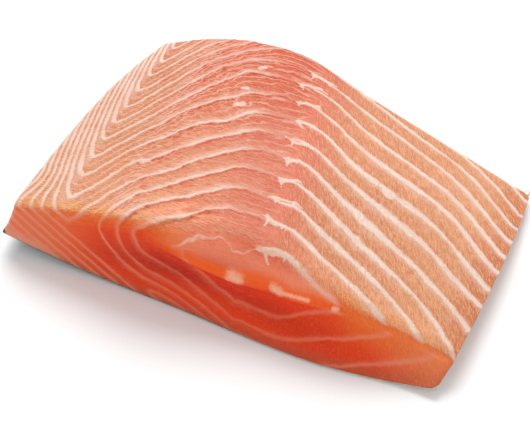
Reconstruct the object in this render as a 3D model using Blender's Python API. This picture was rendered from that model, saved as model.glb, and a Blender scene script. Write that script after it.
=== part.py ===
"""A raw salmon fillet portion with its skin on, lying on the skin, cut across the fish at both ends.

Metres, +Z up. +X runs across the fillet from the fish's back to its belly, +Y along the fish.
The outline functions count y from the near cut; the finished pieces are centred on the origin.
"""

import math

import bmesh
import bpy

# Block outline seen from above
BACK_EDGE_X = -0.0775
BACK_EDGE_BOW = 0.0045
BACK_CORNER_PULL = 0.0055
BACK_CORNER_Y = (0.066, 0.1075)
BELLY_EDGE_X = 0.0780
BELLY_EDGE_BOW = 0.0023
BELLY_UNDERCUT = 0.0022
EDGE_BOW_LENGTH = 0.125
NEAR_CUT_Y = 0.0005
NEAR_CUT_BOW = 0.0043
NEAR_CUT_BOW_X = 0.035
NEAR_CUT_BOW_REACH_BACK = 0.040
NEAR_CUT_BOW_REACH_BELLY = 0.028
FAR_CUT_Y = 0.1025
FAR_CUT_SKEW = -0.058
FAR_CUT_BOW = 0.0065
FAR_CUT_BOW_X = -0.020
FAR_CUT_BOW_REACH = 0.036

# Heights: points (x, z) of the cross-section at mid length, and how it changes towards the cuts
PROFILE = (
    (-0.0820, 0.0172),
    (-0.0760, 0.0188),
    (-0.0690, 0.0204),
    (-0.0500, 0.0248),
    (-0.0270, 0.0298),
    (-0.0070, 0.0312),
    (0.0130, 0.0296),
    (0.0450, 0.0205),
    (0.0720, 0.0108),
    (0.0810, 0.0075),
)
BACK_SIDE_RISE = 0.0047
BACK_SIDE_RISE_X = -0.049
BACK_SIDE_RISE_REACH = 0.026
FAR_BELLY_FALL = 0.0045
FAR_BELLY_X = (-0.015, 0.017)
FAR_BELLY_Y = (0.050, 0.105)
SHOULDER_DROP = 0.0100
SHOULDER_X = 0.010
SHOULDER_HALF_WIDTH = 0.024
SHOULDER_REACH = 0.0080
NEAR_EDGE_DROP = 0.0018
NEAR_EDGE_REACH = 0.0050
BACK_CURL = 0.0065
BACK_CURL_START = -0.020
BACK_CURL_POWER = 1.8
BELLY_CURL = 0.0028
BELLY_CURL_START = 0.055
BELLY_CURL_POWER = 2

# How far the walls lean in on their way up
NEAR_LEAN = 0.0020
NEAR_LEAN_BELLY = 0.0060
NEAR_LEAN_X = (-0.030, 0.040)
FAR_LEAN = 0.0015
BACK_LEAN = 0.0048
EDGE_RADIUS = 0.0019

# Muscle segments: sheets between them meet the top as chevrons that point away along the fish
SEGMENT_PITCH = 0.0100
MIDLINE_NEAR_X = 0.0160
MIDLINE_FAR_X = -0.0070
BEND_NEAR_X = -0.0520
BEND_FAR_X = -0.0635
BACK_SIDE_SWEEP = 0.057
BACK_SIDE_POWER = 2
BELLY_SWEEP = 0.031
BELLY_POWER = 1.1
FLANK_SLOPE = 1.40
FLANK_TILT = 1.55
DEPTH_SLOPE = 0.66
BEND_SOFTNESS = 0.0012
SHINGLE_LEAN = 0.35
SEGMENT_RELIEF = 0.00050
BELLY_RELIEF_SHARE = 0.35
BELLY_RELIEF_X = (0.006, 0.028)
MIDDLE_RELIEF_X = (-0.060, -0.035)
FLAKE_RELIEF = 0.00110
FLAKE_RELIEF_X = (-0.046, -0.032)
FLAKE_REACH = 0.0080

# Skin
SKIN_THICKNESS = 0.0007
SKIN_GAP = 0.0003
SKIN_TIP = 0.0015
SKIN_TIP_SHARES = (0.05, 0.08)

# Low spots that the skin rests on, as shares of the width and length, and how far they stand out
FOOT_ACROSS = (0.375, 0.8125)
FOOT_ALONG = (0.1875, 0.8125)
FOOT_REACH = (0.0625, 0.125)
FOOT_DEPTH = 0.00025

# Mesh fineness: rows of faces across, along and up each piece
FLESH_ROWS = (52, 42, 5)
SKIN_ROWS = (32, 16, 1)
CLOSE_ROW_SHARE = 0.4
FLAT_ANGLE = math.radians(0.1)
FLAT_HEIGHT_SLACK = 1e-6
SHARP_ANGLE = math.radians(40)

# Half the size of the plain block that the pieces are formed from
HALF_SPAN = (0.078, 0.0515, 0.015)


def ramp(span, value):
    """0 below the span, 1 above it, with a soft start and end."""
    t = min(max((value - span[0]) / (span[1] - span[0]), 0.0), 1.0)
    return t * t * (3.0 - 2.0 * t)


def bell(t):
    return math.exp(-t * t)


def mix(a, b, t):
    return a + (b - a) * t


def curve_through(points, x):
    """Height at x of the smooth curve through the points, which run in order of x."""
    last = len(points) - 1
    x = min(max(x, points[0][0]), points[last][0])
    i = next(k for k in range(last) if x <= points[k + 1][0])

    def slope(k):
        a, b = points[max(k - 1, 0)], points[min(k + 1, last)]
        return (b[1] - a[1]) / (b[0] - a[0])

    (x0, z0), (x1, z1) = points[i], points[i + 1]
    span = x1 - x0
    t = (x - x0) / span
    rise = z0 * (1 + 2 * t) * (1 - t) ** 2 + z1 * t * t * (3 - 2 * t)
    return rise + span * (slope(i) * t * (1 - t) ** 2 - slope(i + 1) * t * t * (1 - t))


def edge_bow(y):
    return math.sin(math.pi * min(max(y / EDGE_BOW_LENGTH, 0.0), 1.0))


def back_edge(y):
    """The back edge, which turns in near the far cut."""
    start, end = BACK_CORNER_Y
    corner = min(max((y - start) / (end - start), 0.0), 1.0)
    return BACK_EDGE_X - BACK_EDGE_BOW * edge_bow(y) + BACK_CORNER_PULL * corner**2


def belly_edge(y):
    return BELLY_EDGE_X + BELLY_EDGE_BOW * edge_bow(y)


def near_cut(x):
    reach = NEAR_CUT_BOW_REACH_BACK if x < NEAR_CUT_BOW_X else NEAR_CUT_BOW_REACH_BELLY
    return NEAR_CUT_Y - NEAR_CUT_BOW * bell((x - NEAR_CUT_BOW_X) / reach)


def far_cut(x):
    bow = FAR_CUT_BOW * bell((x - FAR_CUT_BOW_X) / FAR_CUT_BOW_REACH)
    return FAR_CUT_Y + FAR_CUT_SKEW * x + bow


def near_lean(x):
    return NEAR_LEAN + NEAR_LEAN_BELLY * ramp(NEAR_LEAN_X, x)


def underside(x):
    """Height of the skin's lower face: flat in the middle, curling up to both long edges."""
    back = max((BACK_CURL_START - x) / (BACK_CURL_START - BACK_EDGE_X), 0.0)
    belly = max((x - BELLY_CURL_START) / (BELLY_EDGE_X - BELLY_CURL_START), 0.0)
    return FOOT_DEPTH + BACK_CURL * back**BACK_CURL_POWER + BELLY_CURL * belly**BELLY_CURL_POWER


def foot(across, along):
    """How far the lower face of the skin dips at its four low spots."""
    off_across = min(abs(across - spot) for spot in FOOT_ACROSS) / FOOT_REACH[0]
    off_along = min(abs(along - spot) for spot in FOOT_ALONG) / FOOT_REACH[1]
    return FOOT_DEPTH * (1.0 - ramp((0.0, 1.0), math.hypot(off_across, off_along)))


def midline(y):
    return mix(MIDLINE_NEAR_X, MIDLINE_FAR_X, y / FAR_CUT_Y)


def bend_line(y):
    """Where the chevrons turn back on the back side."""
    return mix(BEND_FAR_X, BEND_NEAR_X, (1.0 - min(max(y / FAR_CUT_Y, 0.0), 1.0)) ** 2)


def plain_top(x, y):
    """Height of the top face without the flakes or the soft near edge."""
    rise = ramp((0.0, FAR_CUT_Y), y) * bell((x - BACK_SIDE_RISE_X) / BACK_SIDE_RISE_REACH)
    fall = ramp(FAR_BELLY_X, x) * ramp(FAR_BELLY_Y, y)
    return curve_through(PROFILE, x) + BACK_SIDE_RISE * rise - FAR_BELLY_FALL * fall


def segment(x, y, z):
    """Which muscle segment a point is in: whole numbers are the sheets of fat between segments."""
    depth = plain_top(x, y) - z
    middle, bend = midline(y), bend_line(y)
    if x > middle:
        reach = (x - middle) / (BELLY_EDGE_X - middle)
        main = -BELLY_SWEEP * reach**BELLY_POWER
    else:
        reach = (middle - x) / (middle - bend)
        main = -BACK_SIDE_SWEEP * reach**BACK_SIDE_POWER
    main -= DEPTH_SLOPE * depth
    rise = plain_top(bend, y) - z
    flank = -BACK_SIDE_SWEEP + FLANK_SLOPE * ((bend - x) + FLANK_TILT * rise)
    gap = main - flank
    sweep = 0.5 * (main + flank + math.sqrt(gap * gap + BEND_SOFTNESS**2))
    return (y - sweep) / SEGMENT_PITCH


def relief(x, y, z):
    """Shingle-like rise of each segment towards the sheet of fat at its near side."""
    part = segment(x, y, z) % 1.0
    shingle = math.cos(2 * math.pi * part) + SHINGLE_LEAN * math.sin(2 * math.pi * part)
    belly = ramp(BELLY_RELIEF_X, x)
    middle = ramp(MIDDLE_RELIEF_X, x) * (1.0 - belly)
    flaked = ramp(FLAKE_RELIEF_X, x) * (1.0 - belly)
    near = 1.0 - ramp((0.0, FLAKE_REACH), y - near_cut(x))
    height = SEGMENT_RELIEF * (middle + BELLY_RELIEF_SHARE * belly) + FLAKE_RELIEF * near * flaked
    return height * shingle


def top(x, y):
    """Height of the top face, with the soft shoulder along the near cut and the flakes."""
    shoulder = bell((x - SHOULDER_X) / SHOULDER_HALF_WIDTH)
    drop = NEAR_EDGE_DROP + SHOULDER_DROP * shoulder
    reach = NEAR_EDGE_REACH + SHOULDER_REACH * shoulder
    edge = near_cut(x) + near_lean(x)
    part = max(1.0 - max(y - edge, 0.0) / reach, 0.0)
    plain = plain_top(x, y)
    return plain - drop * part**2 + relief(x, y, plain)


def rounded(point):
    """A point of the plain block after rounding its top and upright edges."""
    core = []
    for value, half in zip(point, HALF_SPAN):
        inner = half - EDGE_RADIUS
        core.append(min(max(value, -inner), inner))
    if point[2] < core[2]:
        core[2] = point[2]
    away = [value - centre for value, centre in zip(point, core)]
    length = math.sqrt(sum(value * value for value in away))
    if length == 0.0:
        return point
    scale = min(EDGE_RADIUS / length, 1.0)
    return [centre + value * scale for centre, value in zip(core, away)]


def place(across, along, up, lift):
    """Ground position of a point from its shares of the width, length and height.

    lift is 1 for the flesh, whose walls lean, and 0 for the skin, whose walls are upright.
    """
    y = mix(NEAR_CUT_Y, FAR_CUT_Y, along)
    left = back_edge(y) + BACK_LEAN * up * lift
    right = belly_edge(y) - BELLY_UNDERCUT * (1.0 - up * lift)
    x = mix(left, right, across)
    near = near_cut(x) + near_lean(x) * up * lift
    far = far_cut(x) - FAR_LEAN * up * lift
    return x, mix(near, far, along)


def shares(point):
    return [0.5 + 0.5 * value / half for value, half in zip(point, HALF_SPAN)]


def flesh_form(point):
    across, along, up = shares(rounded(point))
    x, y = place(across, along, up, 1.0)
    low = underside(x) + SKIN_THICKNESS + SKIN_GAP
    return x, y, mix(low, top(x, y), up)


def skin_form(point):
    across, along, up = shares(point)
    x, y = place(across, along, up, 0.0)
    tip_across, tip_along = SKIN_TIP_SHARES
    tip = SKIN_TIP * bell((1.0 - across) / tip_across) * bell((1.0 - along) / tip_along)
    low = underside(x) - foot(across, along)
    return x + tip, y + tip, mix(low, underside(x) + SKIN_THICKNESS, up)


def stations(rows, half, low_edge, high_edge):
    """Where the rows of faces meet along one axis: evenly, with a close one inside a rounded edge."""
    even = [mix(low_edge - half, half - high_edge, i / rows) for i in range(rows + 1)]
    low = [-half, CLOSE_ROW_SHARE * low_edge - half] if low_edge else []
    high = [half - CLOSE_ROW_SHARE * high_edge, half] if high_edge else []
    return low + even + high


def cut_block(rows, edge):
    """The plain block, its faces cut into rows."""
    block = bmesh.new()
    bmesh.ops.create_cube(block, size=2.0)
    low_edges = (edge, edge, 0.0)
    grid = [stations(*axis, edge) for axis in zip(rows, HALF_SPAN, low_edges)]
    for axis, places in enumerate(grid):
        along = [e for e in block.edges if abs(e.verts[0].co[axis] - e.verts[1].co[axis]) > 1.0]
        bmesh.ops.subdivide_edges(block, edges=along, cuts=len(places) - 2, use_grid_fill=True)
    for vert in block.verts:
        share = [0.5 * (value + 1.0) * (len(places) - 1) for value, places in zip(vert.co, grid)]
        vert.co = [places[round(value)] for value, places in zip(share, grid)]
    return block


def merge_flat_faces(block, height):
    """One face instead of many where the underside is flat."""
    flat = {vert for vert in block.verts if abs(vert.co.z - height) < FLAT_HEIGHT_SLACK}
    edges = [edge for edge in block.edges if flat.issuperset(edge.verts)]
    bmesh.ops.dissolve_limit(block, angle_limit=FLAT_ANGLE, verts=list(flat), edges=edges)


def plain_material(name, colour, roughness):
    material = bpy.data.materials.new(name)
    material.use_nodes = True
    shader = material.node_tree.nodes["Principled BSDF"]
    shader.inputs["Base Color"].default_value = (*colour, 1.0)
    shader.inputs["Roughness"].default_value = roughness
    shader.inputs["Metallic"].default_value = 0.0
    return material


def add_piece(name, block, collection, material):
    mesh = bpy.data.meshes.new(name)
    bmesh.ops.recalc_face_normals(block, faces=block.faces)
    block.to_mesh(mesh)
    block.free()
    mesh.materials.append(material)
    mesh.shade_smooth()
    mesh.set_sharp_from_angle(angle=SHARP_ANGLE)
    piece = bpy.data.objects.new(name, mesh)
    collection.objects.link(piece)
    return piece


def make_flesh(collection):
    block = cut_block(FLESH_ROWS, EDGE_RADIUS)
    for vert in block.verts:
        vert.co = flesh_form(vert.co)
    merge_flat_faces(block, FOOT_DEPTH + SKIN_THICKNESS + SKIN_GAP)
    material = plain_material("salmon_flesh", (0.80, 0.20, 0.09), 0.35)
    return add_piece("flesh", block, collection, material)


def make_skin(collection):
    block = cut_block(SKIN_ROWS, 0.0)
    for vert in block.verts:
        vert.co = skin_form(vert.co)
    material = plain_material("salmon_skin", (0.10, 0.10, 0.11), 0.40)
    return add_piece("skin", block, collection, material)


def centre_on_origin(pieces):
    """Moves all pieces together so that the middle of their bounding box's foot is the origin."""
    corners = [vert.co for piece in pieces for vert in piece.data.vertices]
    for axis in range(3):
        values = [corner[axis] for corner in corners]
        shift = min(values) if axis == 2 else 0.5 * (min(values) + max(values))
        for corner in corners:
            corner[axis] -= shift


def main():
    for old in list(bpy.data.objects):
        bpy.data.objects.remove(old)
    collection = bpy.data.collections.new("salmon")
    bpy.context.scene.collection.children.link(collection)
    centre_on_origin([make_flesh(collection), make_skin(collection)])


main()
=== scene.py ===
"""Looks of a raw salmon fillet portion: flesh with its sheets of fat, skin, floor, light and camera.

Metres. The form functions count x and y as in the outline of the fillet, with y from the near cut,
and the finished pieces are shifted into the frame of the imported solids.
"""

import math
import random

import bpy
import numpy as np
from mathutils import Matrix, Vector, noise


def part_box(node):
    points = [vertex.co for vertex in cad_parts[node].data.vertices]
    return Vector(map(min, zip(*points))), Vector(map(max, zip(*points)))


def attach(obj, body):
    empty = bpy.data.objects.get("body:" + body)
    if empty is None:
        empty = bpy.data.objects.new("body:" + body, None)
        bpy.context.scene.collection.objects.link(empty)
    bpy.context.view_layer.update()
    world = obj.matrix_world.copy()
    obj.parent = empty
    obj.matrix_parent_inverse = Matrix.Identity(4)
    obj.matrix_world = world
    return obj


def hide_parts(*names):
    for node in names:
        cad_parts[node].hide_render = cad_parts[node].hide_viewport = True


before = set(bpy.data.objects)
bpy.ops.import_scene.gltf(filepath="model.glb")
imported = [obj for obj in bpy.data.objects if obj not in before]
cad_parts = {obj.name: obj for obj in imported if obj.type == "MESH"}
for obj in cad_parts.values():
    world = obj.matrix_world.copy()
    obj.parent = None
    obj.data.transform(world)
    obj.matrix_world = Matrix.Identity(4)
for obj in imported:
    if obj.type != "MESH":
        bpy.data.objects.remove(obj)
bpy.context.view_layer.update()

# Outline seen from above
BACK_EDGE_X = -0.0775
BACK_EDGE_BOW = 0.0045
BACK_CORNER_PULL = 0.0055
BACK_CORNER_Y = (0.066, 0.1075)
BELLY_EDGE_X = 0.0780
BELLY_EDGE_BOW = 0.0023
BELLY_UNDERCUT = 0.0022
EDGE_BOW_LENGTH = 0.125
NEAR_CUT_Y = 0.0005
NEAR_CUT_BOW = 0.0043
NEAR_CUT_BOW_X = 0.035
NEAR_CUT_BOW_REACH_BACK = 0.040
NEAR_CUT_BOW_REACH_BELLY = 0.028
FAR_CUT_Y = 0.1025
FAR_CUT_SKEW = -0.058
FAR_CUT_BOW = 0.0065
FAR_CUT_BOW_X = -0.020
FAR_CUT_BOW_REACH = 0.036

# Heights of the top and the underside
PROFILE_X = (-0.0820, -0.0760, -0.0690, -0.0500, -0.0270, -0.0070, 0.0130, 0.0450, 0.0720, 0.0810)
PROFILE_Z = (0.0172, 0.0188, 0.0204, 0.0248, 0.0298, 0.0312, 0.0296, 0.0205, 0.0108, 0.0075)
BACK_SIDE_RISE = 0.0047
BACK_SIDE_RISE_X = -0.049
BACK_SIDE_RISE_REACH = 0.026
FAR_BELLY_FALL = 0.0045
FAR_BELLY_X = (-0.015, 0.017)
FAR_BELLY_Y = (0.050, 0.105)
SHOULDER_DROP = 0.0100
SHOULDER_X = 0.010
SHOULDER_HALF_WIDTH = 0.024
SHOULDER_REACH = 0.0080
NEAR_EDGE_DROP = 0.0018
NEAR_EDGE_REACH = 0.0050
NEAR_EDGE_SOFTNESS = 0.0005
UNDERSIDE_LIFT = 0.00025
BACK_CURL = 0.0065
BACK_CURL_START = -0.020
BACK_CURL_POWER = 1.8
BELLY_CURL = 0.0028
BELLY_CURL_START = 0.055
BELLY_CURL_POWER = 2

# Lean of the walls and roundness of the edges
NEAR_LEAN = 0.0020
NEAR_LEAN_BELLY = 0.0060
NEAR_LEAN_X = (-0.030, 0.040)
FAR_LEAN = 0.0015
FAR_INSET = 0.00003
BACK_LEAN = 0.0048
EDGE_RADIUS = 0.0025
HALF_SPAN = np.array((0.078, 0.0515, 0.015))

# Sheets of fat between the muscle segments. SWEEP says how far a sheet has swept towards the
# near cut, at stations from the bend on the back side (-1) over the midline (0) to the belly
# edge (1), for five places along the fish. DIP says how the sheets run on with depth. FLANK says
# how they turn up beyond the bend, steeper with distance, and BEND_SOFTNESS rounds the bend.
PITCH = 0.0100
MIDLINE_X = (0.0160, -0.0070)
BEND_X = (-0.0520, -0.0635)
REACH = (-1.0, -0.8, -0.6, -0.4, -0.2, 0.0, 0.12, 0.3, 0.5, 0.75, 1.0)
SWEEP_Y = (0.0, 0.030, 0.060, 0.088, 0.106)
SWEEP = (
    (-0.0530, -0.0515, -0.0525, -0.0540, -0.0550),
    (-0.0400, -0.0326, -0.0345, -0.0337, -0.0348),
    (-0.0182, -0.0244, -0.0187, -0.0155, -0.0227),
    (-0.0105, -0.0113, -0.0118, -0.0030, -0.0092),
    (-0.0021, -0.0012, -0.0021, -0.0004, -0.0028),
    (0.0012, -0.0008, -0.0001, 0.0014, -0.0043),
    (0.0021, 0.0004, -0.0009, -0.0008, -0.0075),
    (-0.0018, -0.0059, -0.0094, -0.0084, -0.0124),
    (-0.0058, -0.0124, -0.0131, -0.0138, -0.0216),
    (-0.0172, -0.0189, -0.0175, -0.0212, -0.0300),
    (-0.0332, -0.0263, -0.0316, -0.0375, -0.0380),
)
DIP_REACH = (-1.0, -0.5, -0.1, 0.3, 0.8)
DIP_DEPTH = 0.015
DIP_STRAIGHT = (-0.0068, -0.0103, -0.0115, -0.0032, 0.0074)
DIP_CURVED = (0.0176, 0.0175, 0.0144, 0.0166, 0.0251)
BACK_SIDE_SWEEP = 0.0535
FLANK_SLOPE = 0.72
FLANK_SLOPE_FAR = (1.60, 3.20)
FLANK_SLOPE_Y = (0.002, 0.022)
FLANK_TURN = 0.0036
FLANK_TILT = 1.55
BEND_SOFTNESS = 0.0065

# The sheets on the belly side of the near cut: height of the first one, slope and spacing
LAYER_Z = 0.0067
LAYER_SLOPE = 0.255
LAYER_PITCH = 0.00815
LAYER_X = (0.020, 0.040)
WALL_FADE = (0.0002, 0.0014)
CUT_FADE = (0.0008, 0.0022)

# Marks of fat where the pin bones were: the left and the right end of each
MARK_ENDS = (
    ((0.0153, 0.0103), (0.0209, 0.0112)),
    ((0.0115, 0.0208), (0.0167, 0.0214)),
    ((0.0103, 0.0304), (0.0155, 0.0319)),
    ((0.0083, 0.0388), (0.0127, 0.0417)),
    ((0.0058, 0.0484), (0.0092, 0.0506)),
    ((0.0036, 0.0585), (0.0080, 0.0594)),
    ((0.0010, 0.0698), (0.0053, 0.0710)),
    ((-0.0030, 0.0800), (0.0028, 0.0825)),
    ((-0.0062, 0.0901), (-0.0004, 0.0920)),
    ((-0.0052, 0.0979), (0.0012, 0.0977)),
)
MARK_HALF_WIDTH = 0.00078
BRIDGE_HALF_WIDTH = 0.00058
SPUR_TIP = 0.00014

# Spurs of the stars: angle in degrees, how far it may turn, and the shortest and longest length
LEFT_SPURS = ((-66.0, 0.0020, 0.0044), (172.0, 0.0016, 0.0034), (110.0, 0.0010, 0.0022))
RIGHT_SPURS = ((-75.0, 0.0008, 0.0022), (-20.0, 0.0020, 0.0040))
SPUR_SWING = 22.0
RIGHT_STAR_SIZE = 0.7

# Blobs of fat on the sheets and bands that run together: two ends and a half-width
BLOBS = (
    ((-0.0235, 0.0920), (-0.0222, 0.0926), 0.0011),
    ((-0.0242, 0.0776), (-0.0225, 0.0784), 0.0009),
    ((-0.0222, 0.0690), (-0.0202, 0.0698), 0.0013),
    ((-0.0388, 0.0310), (-0.0372, 0.0318), 0.0010),
    ((0.0343, 0.0401), (0.0362, 0.0386), 0.0011),
    ((0.0362, 0.0386), (0.0440, 0.0365), 0.0008),
    ((0.0373, 0.0563), (0.0395, 0.0550), 0.0011),
)

# Line of fat along the crest of the shoulder: points and the half-width at each
CREST = (
    (-0.0130, 0.0022),
    (-0.0094, 0.0042),
    (-0.0047, 0.0067),
    (0.0005, 0.0087),
    (0.0033, 0.0085),
    (0.0058, 0.0074),
    (0.0097, 0.0086),
    (0.0140, 0.0109),
)
CREST_HALF_WIDTHS = (0.00034, 0.00062, 0.00060, 0.00050, 0.00036, 0.00028, 0.00036, 0.00060)
CREST_STRENGTH = 0.64

# Small hollows where flakes have come off: two ends and a half-width
HOLLOWS = (
    ((-0.0379, 0.0452), (-0.0335, 0.0457), 0.0008),
    ((0.0420, 0.0572), (0.0460, 0.0550), 0.0009),
    ((-0.0120, 0.0120), (-0.0060, 0.0150), 0.0010),
)

# Flecks of fat on the near cut: x and z of the two ends and a half-width
FLECKS = (
    ((0.0070, 0.0192), (0.0094, 0.0186), 0.0016),
    ((0.0208, 0.0190), (0.0232, 0.0182), 0.0011),
    ((0.0232, 0.0182), (0.0325, 0.0184), 0.0005),
    ((0.0405, 0.0180), (0.0415, 0.0180), 0.0006),
)

# Relief: steps at the sheets of fat, and how they fade near the midline
STEP_WIDTH = 0.0009
STEP_TOP_HALF_WIDTH = 0.00050
STEP_MIDDLE = 0.00044
STEP_BACK = 0.00030
STEP_NEAR = 0.0004
STEP_NEAR_REACH = 0.022
STEP_NEAR_X = (-0.048, -0.036, -0.004, 0.012)
STEP_FADE = 0.7
STEP_FADE_REACH = (-0.3, -0.08)
MARK_HEIGHT = 0.00018
FLECK_HEIGHT = 0.0004
HOLLOW_DEPTH = 0.0003

# Relief: fibres, with their noise counted per metre along x, y and z
FIBRE_HEIGHT = 0.00034
FIBRE_NOISE = (260.0, 620.0, 500.0)
FIBRES_OFF_MIDDLE = 0.25
FIBRES_SMOOTHED = 0.55

# Relief: the ledge under the shoulder of the near cut and the lip above it
LEDGE_X = (-0.0300, -0.0227, -0.0133, -0.0031, 0.0053, 0.0155, 0.0210, 0.0269, 0.0414, 0.0500)
LEDGE_Z = (0.0245, 0.0236, 0.0218, 0.0189, 0.0174, 0.0171, 0.0177, 0.0168, 0.0173, 0.0165)
LEDGE_DEPTH = 0.0008
LEDGE_FADE = (-0.026, -0.002, 0.034, 0.047)
LEDGE_PROFILE = (-0.0003, 0.0009, 0.004, 0.012)
LIP_HEIGHT = 0.0003
LIP_REACH = 0.0012

# Parts of the flesh: where along the reach, and how far its surface is turned
BACK_REACH = (-0.86, -0.62)
BELLY_REACH = (-0.02, 0.10)
CUT_SLANT = (0.35, 0.92)
FAR_SLANT = (0.45, 0.85)
FLANK_SLANT = (0.50, 0.85)
UP_SLANT = (0.25, 0.70)
CLOSE_TO_CUT = (0.010, 0.014)
EDGE_BAND = (-0.0010, 0.0070)
EDGE_BAND_WAVER = 0.0014
# Band of the shoulder that is brightened with painted light, where it faces away from the key light
PAINTED_LIGHT_Y = (0.008, 0.022)
PAINTED_LIGHT_X = (-0.030, -0.015, 0.030, 0.046)
SMOOTH_REACH = 0.30

# Where the sheets are read as at the level of the top, and the first sheet that the shoulder hides
LEVEL_SLANT = (0.35, 0.80)
SHOULDER_Y = (0.014, 0.022)
SHOULDER_START_X = (-0.055, -0.045)
INNER_SEGMENT = (1.20, 1.50)
INNER_X = (-0.030, -0.020, 0.010, 0.016)

# Waver of the sheets, in segments: noise per metre and size
WAVER = ((55.0, 0.040), (170.0, 0.080), (420.0, 0.050))
WAVER_ON_BELLY = 0.45

# Half-widths of the lines of fat
HALF_MIDDLE = 0.00064
HALF_BACK = 0.00056
HALF_FLANK = 0.00060
HALF_MIDLINE = 0.00045
HALF_BELLY = 0.00096
HALF_BELLY_WIDEST = 0.00050
WIDEST = (0.041, 0.050)
WIDEST_REACH = (0.012, 0.022)
HALF_CUT = 0.00050
BEND_FAT_X = -0.0024
BEND_FAT_REACH = 0.0030
BEND_FAT_GAIN = 0.6

# Strength of the lines of fat
STRONG_MIDDLE = 0.92
STRONG_BACK = 0.90
STRONG_BELLY = 0.97
STRONG_CUT_BACK = 0.75
STRONG_CUT_MIDDLE = 0.42
STRONG_CUT_BELLY = 0.20
FADED_REACH = (-0.30, -0.10, -0.02, 0.05)

# Grain of the flesh: noise per metre along x, y and z, and the turn of the ribs on the belly side
FIBRE_GRAIN = (420.0, 2300.0, 1600.0)
RIB_GRAIN = (2900.0, 380.0, 900.0)
RIB_TURN = math.radians(-30.0)
CLOUD_GRAIN = (180.0, 420.0, 300.0)
DRIFT_GRAIN = (90.0, 260.0, 200.0)
SPECKLE_GRAIN = 2200.0
RAGGED_GRAIN = 1100.0

# Colours, from 0 to 255 as seen on a screen
FLESH_ON_BACK = (209, 134, 94)
FLESH_IN_MIDDLE = (218, 136, 102)
FLESH_AT_MIDLINE = (214, 112, 86)
# Flesh that is lighter just behind each sheet is painted light on the crest of its step, and flesh that
# is darker before the next sheet is painted shade at the step's foot
FLESH_BEHIND_SHEET_WITH_PAINTED_LIGHT = (226, 168, 138)
FLESH_BEFORE_SHEET_WITH_PAINTED_SHADE = (206, 88, 58)
FLESH_ON_BELLY = (219, 149, 108)
FLESH_FAR_ON_BELLY = (228, 166, 122)
FLESH_BESIDE_BAND = (216, 134, 90)
FLESH_BESIDE_MARKS = (222, 118, 92)
# Painted light on the belly near the near cut, where the surface turns away from the key light
BELLY_NEAR_CUT_PAINTED_LIGHT = (255, 184, 138)
BELLY_RIM = (206, 120, 70)
MIDDLE_CLOUDS = (204, 90, 60)
MIDDLE_FAR = (206, 80, 34)
BACK_FAR = (200, 104, 58)
BACK_NEAR = (230, 162, 118)
# Painted light on the shoulder, which faces away from the key light
SHOULDER_PAINTED_LIGHT = (252, 156, 120)
# Face of the shoulder: its own pink-orange, brightened with painted light because it faces away from the
# light
SHOULDER_FACE_WITH_PAINTED_LIGHT = (255, 142, 108)
# Orange of the rounded near edge, with a painted glow of light shining through it
EDGE_ORANGE_AND_PAINTED_GLOW = (255, 168, 54)
CUT_RED = (230, 62, 8)
CUT_DEEP = (182, 28, 6)
CUT_TOP = (242, 112, 36)
CUT_BELLY_TOP = (242, 120, 46)
CUT_BELLY_END = (230, 138, 96)
# Orange of the shoulder above the ledge, brightened with painted light where it is lit less, and painted
# light in the shade under the ledge's overhang
ABOVE_LEDGE_WITH_PAINTED_LIGHT = (252, 104, 28)
UNDER_LEDGE_PAINTED_LIGHT = (240, 60, 18)
CUT_BACK = (236, 108, 52)
CUT_BACK_END = (222, 118, 80)
CUT_FOOT_BACK = (222, 150, 124)
# Painted contact shade along the foot of the near cut, away from its back end
CUT_FOOT_PAINTED_SHADE = (172, 88, 62)
FAT_ABOVE = (240, 208, 192)
FAT_ON_BELLY = (242, 216, 202)
FAT_ON_CUT = (234, 138, 104)
# Fat on the shoulder, brightened with painted light because the shoulder faces away from the light
FAT_ON_SHOULDER_PAINTED_LIGHT = (255, 222, 200)
FLECK_COLOUR = (250, 196, 164)
GRAIN_LIGHT = (240, 176, 134)
BLOTCH_COLOUR = (212, 92, 56)
HOLLOW_COLOUR = (212, 100, 58)
# Red of the foot in front of each sheet, partly painted shade below the step
FOOT_RED_AND_PAINTED_SHADE = (214, 82, 44)
SKIN_DARK = ((52, 54, 58), (88, 90, 94))
SKIN_PALE = ((222, 200, 188), (238, 222, 212))

# Skin
SKIN_THICKNESS = 0.0007
SKIN_OVERLAP = 0.0001
SKIN_INSET = 0.0004
SKIN_INSET_SHARE = 0.05
SKIN_TIP = 0.0015
SKIN_TIP_SHARES = (0.05, 0.08)
SKIN_PALE_X = (-0.010, 0.045)
SCALE_GRAIN = 420.0

# Rows of faces along x, y and z, and how much closer together they lie at the near cut and the top
FLESH_ROWS = (276, 186, 44)
FLESH_COARSE = 6
DENSER_NEAR = 0.25
DENSER_TOP = 0.7
SKIN_ROWS = (180, 120, 2)

# Floor, light and camera
FLOOR_HALF = 3.0
FLOOR_WHITE = 0.92
SKY_STRENGTH = 0.66
KEY_LIGHT = ((-0.26, 0.63, 0.76), 0.80, 10.6)
FILL_LIGHT = ((0.45, -0.50, 0.60), 0.8, 0.7)
LIGHT_TARGET = (0.0, 0.0, 0.01)
FOCAL_PIXELS = 1100.0
PHOTO_WIDTH = 530.0
SENSOR_WIDTH = 36.0
ELEVATION = 42.0
AZIMUTH = 24.5
DISTANCE = 0.370
TARGET = (0.0016, 0.0403, 0.01155)
CLIP_START = 0.01


def ramp(low, high, value):
    """0 at low, 1 at high, with a soft start and end."""
    t = np.clip((value - low) / (high - low), 0.0, 1.0)
    return t * t * (3.0 - 2.0 * t)


def window(start, full, last, end, value):
    """0 outside start and end, 1 from full to last."""
    return ramp(start, full, value) * (1.0 - ramp(last, end, value))


def bell(t):
    return np.exp(-t * t)


def mix(a, b, t):
    return a + (b - a) * t


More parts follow.
